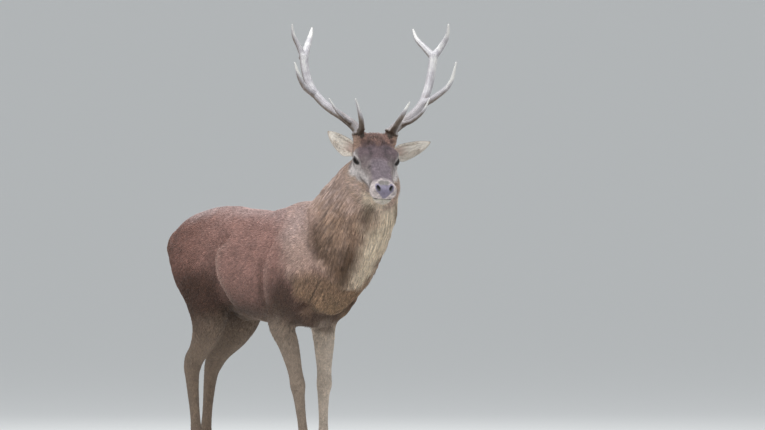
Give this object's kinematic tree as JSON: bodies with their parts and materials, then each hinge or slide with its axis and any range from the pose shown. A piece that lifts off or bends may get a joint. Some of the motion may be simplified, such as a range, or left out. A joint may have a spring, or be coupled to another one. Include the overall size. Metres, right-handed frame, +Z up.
{
  "type": "red deer stag",
  "caption": "Life-size red deer stag with branched antlers and a shaggy neck, standing with its head turned to its right.",
  "frame": {"origin": "on the ground, under the middle of the whole animal's bounding box", "axes": "+Z up; the trunk points along +X, so +Y is the stag's left; the head is turned about 30 degrees to the stag's right"},
  "size_m": [1.688, 0.7179, 2.0395],
  "materials": {
    "coat": "short red-brown summer coat, paler along the back",
    "mane": "long shaggy grey-brown neck hair",
    "face_hair": "short fine grey-brown hair, bare dark nose",
    "leg_hair": "short dark brown hair",
    "ear_hair": "pale hair, dark rim",
    "antler": null,
    "eye": "wet, dark, glossy",
    "hoof_horn": "dark horn"
  },
  "bodies": {
    "root": {"antler_left_beam_lower": "antler", "antler_left_beam_upper": "antler", "antler_left_bez": "antler", "antler_left_brow": "antler", "antler_left_crown_inner": "antler", "antler_left_crown_outer": "antler", "antler_left_trez": "antler", "antler_right_beam_lower": "antler", "antler_right_beam_upper": "antler", "antler_right_bez": "antler", "antler_right_brow": "antler", "antler_right_crown_inner": "antler", "antler_right_crown_outer": "antler", "antler_right_trez": "antler", "dewclaw_fore_left_inner": "hoof_horn", "dewclaw_fore_left_outer": "hoof_horn", "dewclaw_fore_right_inner": "hoof_horn", "dewclaw_fore_right_outer": "hoof_horn", "dewclaw_hind_left_inner": "hoof_horn", "dewclaw_hind_left_outer": "hoof_horn", "dewclaw_hind_right_inner": "hoof_horn", "dewclaw_hind_right_outer": "hoof_horn", "ear_left": "ear_hair", "ear_right": "ear_hair", "eye_left": "eye", "eye_right": "eye", "fore_left_lower": "leg_hair", "fore_left_upper": "coat", "fore_right_lower": "leg_hair", "fore_right_upper": "coat", "head": "face_hair", "hind_left_lower": "leg_hair", "hind_left_upper": "coat", "hind_right_lower": "leg_hair", "hind_right_upper": "coat", "hoof_fore_left_inner": "hoof_horn", "hoof_fore_left_outer": "hoof_horn", "hoof_fore_right_inner": "hoof_horn", "hoof_fore_right_outer": "hoof_horn", "hoof_hind_left_inner": "hoof_horn", "hoof_hind_left_outer": "hoof_horn", "hoof_hind_right_inner": "hoof_horn", "hoof_hind_right_outer": "hoof_horn", "neck": "mane", "tail": "coat", "trunk": "coat"}
  },
  "joints": []
}
